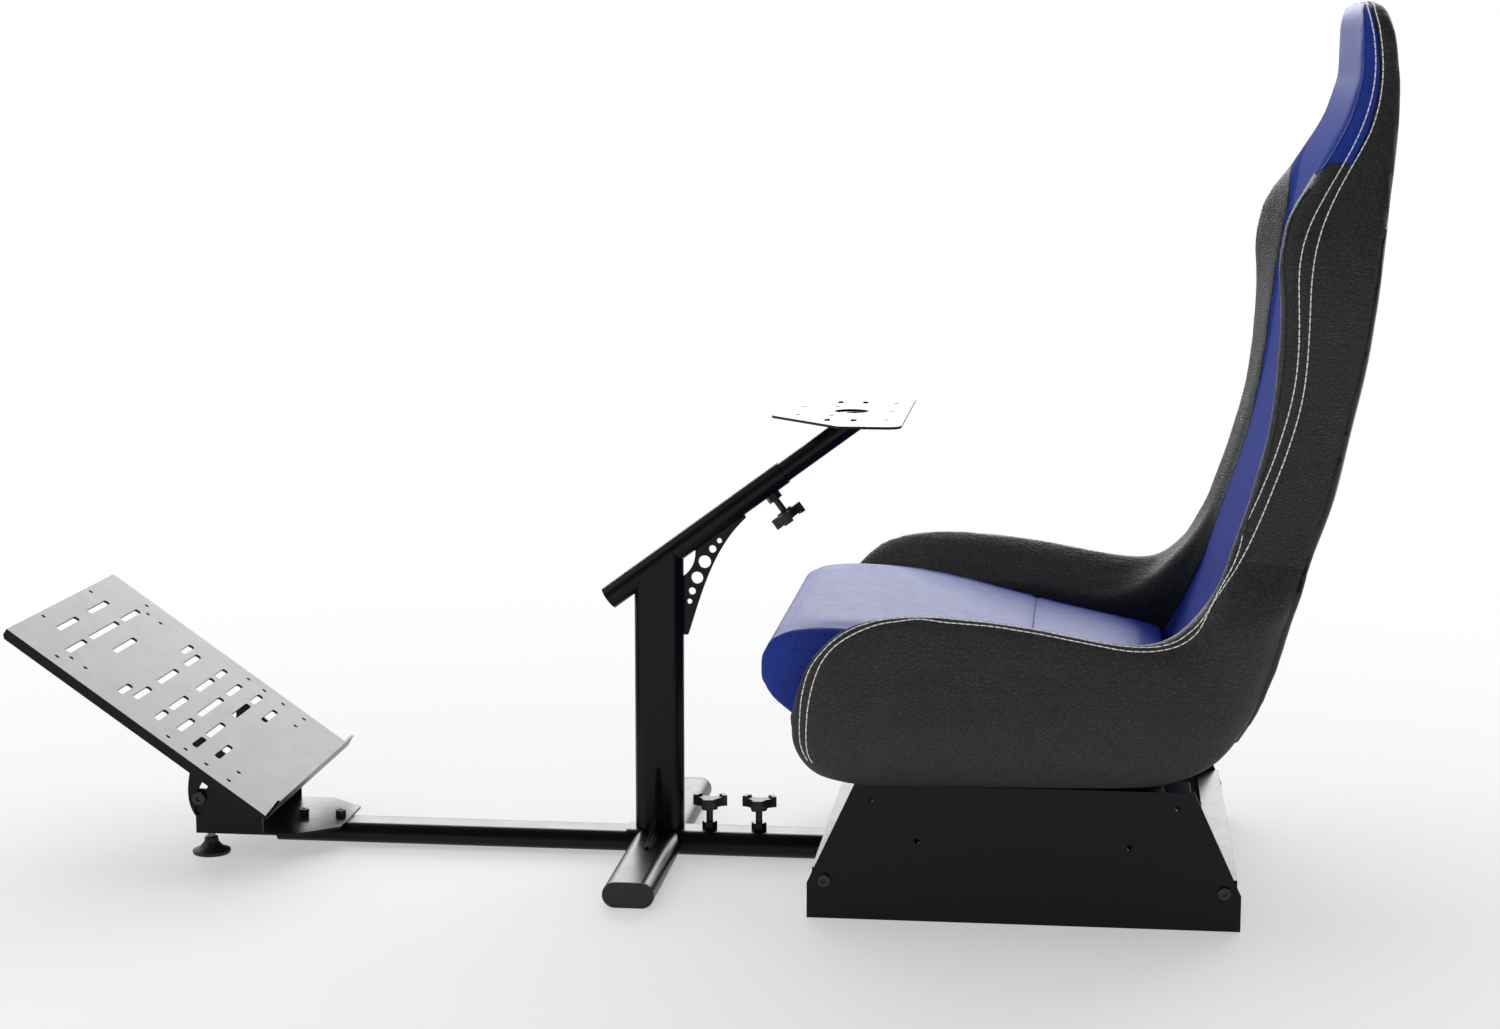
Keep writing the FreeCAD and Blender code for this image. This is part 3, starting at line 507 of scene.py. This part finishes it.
def inflate(obj, cap):
    """Blows the cover up as cloth, and keeps how far it rises, evened out, so that the edges stay true."""
    rest = coords_of(obj.data)
    normals = normals_of(obj.data)
    cloth = obj.modifiers.new("Inflate", "CLOTH")
    cloth.settings.use_pressure = True
    cloth.settings.uniform_pressure_force = PRESSURE
    cloth.settings.effector_weights.gravity = 0.0
    cloth.point_cache.frame_start = 1
    cloth.point_cache.frame_end = LAST_FRAME
    for number in range(1, LAST_FRAME + 1):
        scene.frame_set(number)
    bake_modifiers(obj)
    scene.frame_set(1)
    rise = np.clip(((coords_of(obj.data) - rest) * normals).sum(axis=1), 0.0, cap)
    mean = spread(obj.data)
    for _ in range(SETTLE_ROUNDS):
        rise = 0.5 * rise + 0.5 * mean(rise)
    put_coords(obj.data, rest + normals * rise[:, None])


def subdivide(obj):
    modifier = obj.modifiers.new("Fine", "SUBSURF")
    modifier.levels = 1
    modifier.render_levels = 1
    bake_modifiers(obj)


def seat_piece(obj, nodes):
    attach(obj, FRAME_BODY)
    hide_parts(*nodes)


def curve_mesh(points, kind, radius):
    """The mesh of a curve through points in metres: a line, or a tube where a radius is given."""
    curve = bpy.data.curves.new("path", "CURVE")
    curve.dimensions = "3D"
    curve.resolution_u = 24
    curve.bevel_depth = radius
    curve.bevel_resolution = 2
    curve.use_fill_caps = True
    spline = curve.splines.new(kind)
    if kind == "BEZIER":
        spline.bezier_points.add(len(points) - 1)
        for knot, place in zip(spline.bezier_points, points):
            knot.co = place
            knot.handle_left_type = "AUTO"
            knot.handle_right_type = "AUTO"
    else:
        spline.points.add(len(points) - 1)
        for knot, place in zip(spline.points, points):
            knot.co = (*place, 1.0)
    holder = bpy.data.objects.new("path", curve)
    scene.collection.objects.link(holder)
    graph = bpy.context.evaluated_depsgraph_get()
    mesh = bpy.data.meshes.new_from_object(holder.evaluated_get(graph))
    bpy.data.objects.remove(holder)
    bpy.data.curves.remove(curve)
    return mesh


def smooth_path(points, step):
    """Points a step apart along a smooth curve through points in mm."""
    mesh = curve_mesh([[value * MM for value in place] for place in points], "BEZIER", 0.0)
    line = coords_of(mesh)
    bpy.data.meshes.remove(mesh)
    run = np.concatenate(([0.0], np.cumsum(np.linalg.norm(np.diff(line, axis=0), axis=1))))
    marks = np.arange(0.0, run[-1], step)
    return np.column_stack([np.interp(marks, run, line[:, axis]) for axis in range(3)])


def cover_trees(pieces):
    trees = []
    for piece in pieces:
        shape = bmesh.new()
        shape.from_mesh(piece.data)
        trees.append(BVHTree.FromBMesh(shape))
        shape.free()
    return trees


def nearest(trees, place):
    found = [tree.find_nearest(Vector(place)) for tree in trees]
    best = min(found, key=lambda hit: hit[3])
    return best[0], best[1]


def on_cover(trees, place):
    """The point and normal of the cover beside a guide point, or nearest to it where the cover turns over."""
    outside = Vector((place[0], -FAR_OUT, place[2]))
    found = [tree.ray_cast(outside, Vector((0.0, 1.0, 0.0))) for tree in trees]
    found = [hit for hit in found if hit[0] is not None]
    best = min(found, key=lambda hit: hit[3], default=None)
    if best is None or best[1].y > -FACING_OUT:
        return nearest(trees, place)
    return best[0], best[1]


def laid_on(trees, path):
    """Points and normals of the cover along a guide path, evened out so that the row runs smooth."""
    line = np.array([on_cover(trees, place)[0] for place in path])
    for _ in range(ROW_ROUNDS):
        line[1:-1] = 0.5 * line[1:-1] + 0.25 * (line[:-2] + line[2:])
    return [nearest(trees, place) for place in line]


def press_channel(obj, line, depth, width):
    """Sinks a sewn channel along a line of points on the cover."""
    tree = KDTree(len(line))
    for k, place in enumerate(line):
        tree.insert(place, k)
    tree.balance()
    points = coords_of(obj.data)
    near = np.array([tree.find(place)[2] for place in points])
    sink = depth * np.exp(-(near / width) ** 2)
    put_coords(obj.data, points - normals_of(obj.data) * sink[:, None])


def mirrored(obj, name):
    shape = bmesh.new()
    shape.from_mesh(obj.data)
    bmesh.ops.scale(shape, vec=(1, -1, 1), verts=shape.verts)
    bmesh.ops.reverse_faces(shape, faces=shape.faces)
    return new_piece(name, shape, obj.data.materials[0])


def cut_along(shape, value):
    """Cuts a shape along the line where a value given for each vertex changes sign."""
    shape.verts.ensure_lookup_table()
    crossing = []
    for edge in shape.edges:
        if value[edge.verts[0].index] * value[edge.verts[1].index] < 0:
            crossing.append(edge)
    made = []
    for edge in crossing:
        a, b = edge.verts
        share = value[a.index] / (value[a.index] - value[b.index])
        made.append(bmesh.utils.edge_split(edge, a, share)[1])
    bmesh.ops.connect_verts(shape, verts=made)


def tuck_edges(shape):
    """Turns the cut edge of a cover inward, as it is sewn."""
    shape.normal_update()
    rim = [edge for edge in shape.edges if edge.is_boundary]
    inward = {}
    for edge in rim:
        for vert in edge.verts:
            inward[tuple(vert.co)] = vert.normal * TUCK
    made = bmesh.ops.extrude_edge_only(shape, edges=rim)["geom"]
    for item in made:
        if isinstance(item, bmesh.types.BMVert):
            item.co -= inward[tuple(item.co)]


def table_at(table, heights):
    rows = np.array(table, float) * MM
    return np.interp(heights, rows[:, 0], rows[:, 1])


def share_at(table, places):
    rows = np.array(table)
    return np.interp(places, rows[:, 0] * MM, rows[:, 1])


def in_blue(points):
    """How far inside the blue cover each point is, below zero outside it."""
    side = np.abs(points[:, 1])
    drop = np.clip((side - DROP_FROM) / DROP_OVER, 0, 1) * np.clip(DROP_BEHIND - points[:, 0], 0, None)
    across = table_at(BLUE_HALF, points[:, 2] + drop) - side
    behind = table_at(BLUE_REACH, points[:, 2]) - points[:, 0]
    return np.minimum(across, behind)


def cover_piece(block, name, finish, inside, halved, keep):
    """Cuts one cover from the foam: the faces to keep are told by their inside value and their side."""
    shape = bmesh.new()
    shape.from_mesh(block.data)
    cut_along(shape, inside(coords_of(block.data)))
    if halved:
        cut_along(shape, np.array([vert.co.y for vert in shape.verts]))
    points = np.array([vert.co for vert in shape.verts])
    shape.verts.index_update()
    value = inside(points)
    halves = points[:, 1]
    spare = []
    for face in shape.faces:
        corners = [vert.index for vert in face.verts]
        if not keep(value[corners].mean(), halves[corners].mean()):
            spare.append(face)
    bmesh.ops.delete(shape, geom=spare, context="FACES")
    tuck_edges(shape)
    obj = new_piece(name, shape, finish)
    subdivide(obj)
    return obj


def back_and_wings():
    """The blue front cover, the two black wings and the hard shell, cut from one block of foam."""
    nodes = ["left_seat_bolster", "right_seat_bolster", "left_back_bolster", "right_back_bolster", "headrest",
             "backrest_panel"]
    block = foam_block("foam", nodes, BLACK_LEATHER, FUSE)
    remesh(block, VOXEL)
    even_out(block, FOAM_ROUNDS)
    heights = coords_of(block.data)[:, 2]
    glide(block, GLIDE_ROUNDS, np.clip((heights - SEAT_TOP) / (BACK_FOOT - SEAT_TOP), 0.0, 1.0))
    soften(block, SEAT_CORNER, CORNER_REACH, CORNER_ROUNDS)
    flare(block)
    swell(block, COVER_LIFT - FUSE)
    inflate(block, COVER_RISE)
    blue = cover_piece(block, "blue_back_cover", BACK_LEATHER, in_blue, False, lambda value, half: value > 0)
    left = cover_piece(block, "left_wing_cover", BLACK_LEATHER, in_blue, True,
                       lambda value, half: value <= 0 and half <= 0)
    right = cover_piece(block, "right_wing_cover", BLACK_LEATHER, in_blue, True,
                        lambda value, half: value <= 0 and half > 0)
    back_shell(block)
    bpy.data.objects.remove(block)
    return blue, left, right


def in_shell(points):
    """How far inside the hard back shell each point is, below zero outside it."""
    heights = points[:, 2]
    ends = np.minimum(heights - SHELL_HALF[0][0] * MM, SHELL_HALF[-1][0] * MM - heights)
    across = table_at(SHELL_HALF, heights) - np.abs(points[:, 1])
    flat = np.minimum(across, points[:, 0] - table_at(SHELL_REAR, heights) + SHELL_DEEP)
    rim = np.minimum(across + RIM_WIDE, points[:, 0] - table_at(SHELL_RIM, heights))
    return np.minimum(ends, np.maximum(flat, rim))


def back_shell(block):
    """The hard shell, moulded over the rear of the foam, thick at its foot and thin at its top."""
    obj = cover_piece(block, "back_shell_skin", SHELL_PLASTIC, in_shell, False, lambda value, half: value > 0)
    thick = table_at(SHELL_THICK, coords_of(obj.data)[:, 2])
    put_coords(obj.data, coords_of(obj.data) + normals_of(obj.data) * thick[:, None])
    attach(obj, FRAME_BODY)
    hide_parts("back_shell")


def cushion():
    obj = foam_block("seat_cushion_cover", ["seat_cushion"], BLUE_LEATHER, 0.0)
    remesh(obj, VOXEL)
    even_out(obj, CUSHION_ROUNDS)
    swell(obj, -CUSHION_SINK)
    inflate(obj, CUSHION_RISE)
    subdivide(obj)
    points = coords_of(obj.data)
    front, rear = points[:, 0].min(), points[:, 0].max()
    points[:, 0] = rear - (rear - points[:, 0]) * (rear - CUSHION_NOSE_X) / (rear - front)
    normals = normals_of(obj.data)
    near = np.abs(points[:, 0] - CUSHION_SEAM[0][0] * MM)
    sink = SEAM_DEEP * np.exp(-(near / SEAM_WIDE) ** 2) * np.clip(normals[:, 2] * 2, 0, 1)
    put_coords(obj.data, points - normals * sink[:, None])
    return obj


# Stitching

LENGTHWISE = Matrix.Rotation(math.pi / 2, 4, "Y")


def stitch_row(shape, path, trees):
    """Lays stitches, each a short flat rod, along a path on the cover."""
    line = laid_on(trees, path)
    reach = round(STITCH_LONG / ROW_STEP)
    for k in range(0, len(line) - reach, round(STITCH_PITCH / ROW_STEP)):
        a, normal_a = line[k]
        b, normal_b = line[k + reach]
        along = (b - a).normalized()
        up = (normal_a + normal_b).normalized()
        up = (up - along * up.dot(along)).normalized()
        across = up.cross(along)
        basis = Matrix((along, across, up)).transposed().to_4x4()
        size = Matrix.Diagonal(((b - a).length / 2, STITCH_WIDE / 2, STITCH_HIGH / 2, 1.0))
        place = Matrix.Translation((a + b) / 2 + up * STITCH_LIFT) @ basis @ size @ LENGTHWISE
        bmesh.ops.create_cone(
            shape, cap_ends=True, segments=STITCH_SIDES, radius1=1.0, radius2=1.0, depth=2.0, matrix=place,
        )


def stitching(trees):
    shape = bmesh.new()
    for row in (ROW_ONE, ROW_TWO):
        stitch_row(shape, smooth_path(row, ROW_STEP), trees)
    return new_piece("left_wing_stitching", shape, THREAD)


def welt(name, guide, trees, radius, finish):
    line = [nearest(trees, place)[0] for place in smooth_path(guide, WELT_STEP)]
    shape = bmesh.new()
    mesh = curve_mesh(line, "POLY", radius)
    shape.from_mesh(mesh)
    bpy.data.meshes.remove(mesh)
    return new_piece(name, shape, finish)


def upholster():
    blue, left, right = back_and_wings()
    trees = cover_trees([left, blue])
    flip = np.array((1.0, -1.0, 1.0))
    for row in (ROW_ONE, ROW_TWO, SIDE_SEAM):
        line = np.array([place for place, _ in laid_on(trees, smooth_path(row, ROW_STEP))])
        press_channel(left, line, CHANNEL_DEEP, CHANNEL_WIDE)
        press_channel(right, line * flip, CHANNEL_DEEP, CHANNEL_WIDE)
        press_channel(blue, np.vstack((line, line * flip)), CHANNEL_DEEP, CHANNEL_WIDE)
    trees = cover_trees([left, blue])
    trim = [stitching(trees)]
    trim.append(welt("left_head_welt", BLUE_WELT, trees, WELT_R, BLUE_LEATHER))
    trim.append(welt("left_wing_welt", BLACK_WELT, trees, WELT_R, BLACK_LEATHER))
    for obj in trim:
        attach(obj, FRAME_BODY)
        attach(mirrored(obj, obj.name.replace("left", "right")), FRAME_BODY)
    for obj, name in ((left, "left"), (right, "right")):
        seat_piece(obj, [name + "_seat_bolster", name + "_back_bolster"])
    seat_piece(blue, ["headrest", "backrest_panel"])
    pad = cushion()
    seam = welt("cushion_seam", CUSHION_SEAM, cover_trees([pad]), SEAM_R, NAVY_THREAD)
    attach(seam, FRAME_BODY)
    seat_piece(pad, ["seat_cushion"])


# Screw threads and weld beads

COLUMN_KNOB = Vector((0.1289, 0.0, 0.4535))
COLUMN_DOWN = Vector((0.5948, 0.0, -0.8039))
COLUMN_THREAD = 22.0 * MM
BEAM_KNOBS = (("front", 0.061), ("rear", 0.1215))
BEAM_THREAD_Z = 0.0393
CLAMP_SCREW_R = 4.3 * MM
CLAMP_SCREW_LONG = 15 * MM
LEVEL_FEET = (("left", -0.076), ("right", 0.076))
LEVEL_X = -0.542
LEVEL_THREAD_Z = 0.0207
LEVEL_SCREW_R = 5.1 * MM
LEVEL_SCREW_LONG = 35 * MM
UP = (0, 0, 1)
THREAD_PITCH = 1.5 * MM
THREAD_DEEP = 0.5 * MM
THREAD_STEPS = 16
BEAD_R = 1.9 * MM
BEAD_STEP = 2.6 * MM
# Welds of the frame on one side, from end to end in mm, and the oval weld under the wheel plate
FRAME_WELDS = (
    ((-14, 15, 30), (14, 15, 30)),
    ((-2.4, 15, 34), (-2.4, 15, 104)),
    ((2.4, 15, 34), (2.4, 15, 104)),
    ((-2.4, 18, 30.4), (-2.4, 108, 30.4)),
    ((2.4, 18, 30.4), (2.4, 108, 30.4)),
    ((30, 2.4, 272), (30, 2.4, 340)),
    ((46, 2.4, 376.5), (103, 2.4, 418.5)),
)
PLATE_WELD = (247.5, 0, 541)
PLATE_WELD_WIDE = 20.8
PLATE_WELD_DEEP = 12.6
PLATE_WELD_STEPS = 60


def screw_thread(name, start, along, radius, length, finish, body):
    """A helical thread on the bare part of a screw."""
    turns = int(length / THREAD_PITCH) - 1
    shape = bmesh.new()
    root = radius - THREAD_DEEP
    profile = ((root, 0.0, 0.0), (radius, 0.0, THREAD_PITCH / 2), (root, 0.0, THREAD_PITCH))
    corners = [shape.verts.new(place) for place in profile]
    flanks = [shape.edges.new(corners[:2]), shape.edges.new(corners[1:])]
    bmesh.ops.spin(
        shape, geom=corners + flanks, cent=(0, 0, 0), axis=UP, angle=2 * math.pi * turns,
        dvec=(0, 0, THREAD_PITCH / THREAD_STEPS), steps=THREAD_STEPS * turns,
    )
    bmesh.ops.remove_doubles(shape, verts=shape.verts, dist=MERGE)
    bmesh.ops.recalc_face_normals(shape, faces=shape.faces)
    turn = Vector(along).to_track_quat("Z", "Y").to_matrix().to_4x4()
    bmesh.ops.transform(shape, matrix=Matrix.Translation(start) @ turn, verts=shape.verts)
    obj = new_piece(name, shape, finish)
    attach(obj, body)


def screw_threads():
    for name, x in BEAM_KNOBS:
        start = (x, 0.0, BEAM_THREAD_Z)
        screw_thread(
            name + "_clamp_thread", start, UP, CLAMP_SCREW_R, CLAMP_SCREW_LONG, BLACK_SCREW,
            name + "_beam_clamp",
        )
    start = COLUMN_KNOB + COLUMN_DOWN * COLUMN_THREAD
    screw_thread(
        "column_clamp_thread", start, COLUMN_DOWN, CLAMP_SCREW_R, CLAMP_SCREW_LONG, BLACK_SCREW,
        "column_clamp",
    )
    for name, y in LEVEL_FEET:
        start = (LEVEL_X, y, LEVEL_THREAD_Z)
        screw_thread(
            name + "_level_thread", start, UP, LEVEL_SCREW_R, LEVEL_SCREW_LONG, ZINC, name + "_level",
        )


def weld_bead(shape, path):
    """Overlapping drops of weld along a path in mm."""
    line = np.array(path, float) * MM
    run = np.concatenate(([0.0], np.cumsum(np.linalg.norm(np.diff(line, axis=0), axis=1))))
    for mark in np.arange(0.0, run[-1], BEAD_STEP):
        place = [np.interp(mark, run, line[:, axis]) for axis in range(3)]
        bmesh.ops.create_icosphere(shape, subdivisions=1, radius=BEAD_R, matrix=Matrix.Translation(place))


def oval_path(middle, wide, deep, steps):
    x, y, z = middle
    turns = [2 * math.pi * k / steps for k in range(steps + 1)]
    return [(x + wide * math.cos(t), y + deep * math.sin(t), z) for t in turns]


def weld_beads():
    shape = bmesh.new()
    for side in (-1, 1):
        for ends in FRAME_WELDS:
            weld_bead(shape, [(x, side * y, z) for x, y, z in ends])
    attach(new_piece("frame_welds", shape, POWDER_COAT), FRAME_BODY)
    shape = bmesh.new()
    weld_bead(shape, oval_path(PLATE_WELD, PLATE_WELD_WIDE, PLATE_WELD_DEEP, PLATE_WELD_STEPS))
    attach(new_piece("wheel_plate_weld", shape, POWDER_COAT), "wheel_stem")


# Stage, light and camera

def floor():
    """A pale floor that glows to white away from the part, and keeps the part's shadow near it."""
    shape = bmesh.new()
    bmesh.ops.create_grid(shape, x_segments=1, y_segments=1, size=FLOOR_HALF)
    mat, shader = new_finish("pale_floor", (0.86, 0.86, 0.86), 0.8)
    glow = add(mat, "ShaderNodeEmission")
    glow.inputs["Color"].default_value = WHITE
    path = add(mat, "ShaderNodeLightPath")
    place = add(mat, "ShaderNodeTexCoord")
    away = add(mat, "ShaderNodeVectorMath")
    away.operation = "DISTANCE"
    away.inputs[1].default_value = FLOOR_MIDDLE
    fade = add(mat, "ShaderNodeMapRange", From_Min=GLOW_NEAR, From_Max=GLOW_FAR, To_Min=GLOW_LEAST)
    fade.interpolation_type = "SMOOTHSTEP"
    fade.inputs["To Max"].default_value = 1.0
    seen = add(mat, "ShaderNodeMath")
    seen.operation = "MAXIMUM"
    share = add(mat, "ShaderNodeMath")
    share.operation = "MULTIPLY"
    mix = add(mat, "ShaderNodeMixShader")
    out = mat.node_tree.nodes["Material Output"]
    link(mat, place.outputs["Object"], away.inputs[0])
    link(mat, away.outputs["Value"], fade.inputs["Value"])
    link(mat, fade.outputs["Result"], share.inputs[1])
    link(mat, path.outputs["Is Camera Ray"], seen.inputs[0])
    link(mat, path.outputs["Is Glossy Ray"], seen.inputs[1])
    link(mat, seen.outputs["Value"], share.inputs[0])
    link(mat, share.outputs["Value"], mix.inputs["Fac"])
    link(mat, shader.outputs["BSDF"], mix.inputs[1])
    link(mat, glow.outputs["Emission"], mix.inputs[2])
    link(mat, mix.outputs["Shader"], out.inputs["Surface"])
    obj = new_piece("floor", shape, mat)


def studio_world():
    """A white background to the camera, and a room that is bright on one side to everything else."""
    world = bpy.data.worlds.new("studio")
    scene.world = world
    world.use_nodes = True
    tree = world.node_tree
    back = tree.nodes["Background"]
    place = tree.nodes.new("ShaderNodeTexCoord")
    towards = tree.nodes.new("ShaderNodeVectorMath")
    towards.operation = "DOT_PRODUCT"
    towards.inputs[1].default_value = BRIGHT_SIDE
    ramp = tree.nodes.new("ShaderNodeMapRange")
    ramp.inputs["From Min"].default_value = 0.0
    ramp.inputs["From Max"].default_value = WORLD_TURN
    ramp.inputs["To Min"].default_value = WORLD_DIM
    ramp.inputs["To Max"].default_value = WORLD_BRIGHT
    path = tree.nodes.new("ShaderNodeLightPath")
    level = tree.nodes.new("ShaderNodeMix")
    level.inputs["B"].default_value = 1.0
    tree.links.new(place.outputs["Generated"], towards.inputs[0])
    tree.links.new(towards.outputs["Value"], ramp.inputs["Value"])
    tree.links.new(path.outputs["Is Camera Ray"], level.inputs["Factor"])
    tree.links.new(ramp.outputs["Result"], level.inputs["A"])
    tree.links.new(level.outputs["Result"], back.inputs["Strength"])
    back.inputs["Color"].default_value = WHITE


def softbox(name, place, target, width, height, power, glossy):
    lamp = bpy.data.lights.new(name, "AREA")
    lamp.shape = "RECTANGLE"
    lamp.size = width
    lamp.size_y = height
    lamp.energy = power
    obj = bpy.data.objects.new(name, lamp)
    obj.location = place
    obj.rotation_euler = (Vector(target) - Vector(place)).to_track_quat("-Z", "Y").to_euler()
    obj.visible_camera = False
    obj.visible_glossy = glossy
    scene.collection.objects.link(obj)


def camera():
    data = bpy.data.cameras.new("photo_camera")
    data.sensor_width = SENSOR_MM
    data.lens = FOCAL_PX / PHOTO_WIDTH_PX * SENSOR_MM
    obj = bpy.data.objects.new("photo_camera", data)
    obj.location = CAMERA_PLACE
    obj.rotation_euler = (math.pi / 2 - CAMERA_PITCH, 0.0, CAMERA_YAW)
    scene.collection.objects.link(obj)
    scene.camera = obj


camera()
dress_cad_nodes()
upholster()
screw_threads()
weld_beads()
floor()
studio_world()
for row in SOFTBOXES:
    softbox(*row)
scene.view_settings.view_transform = "Standard"
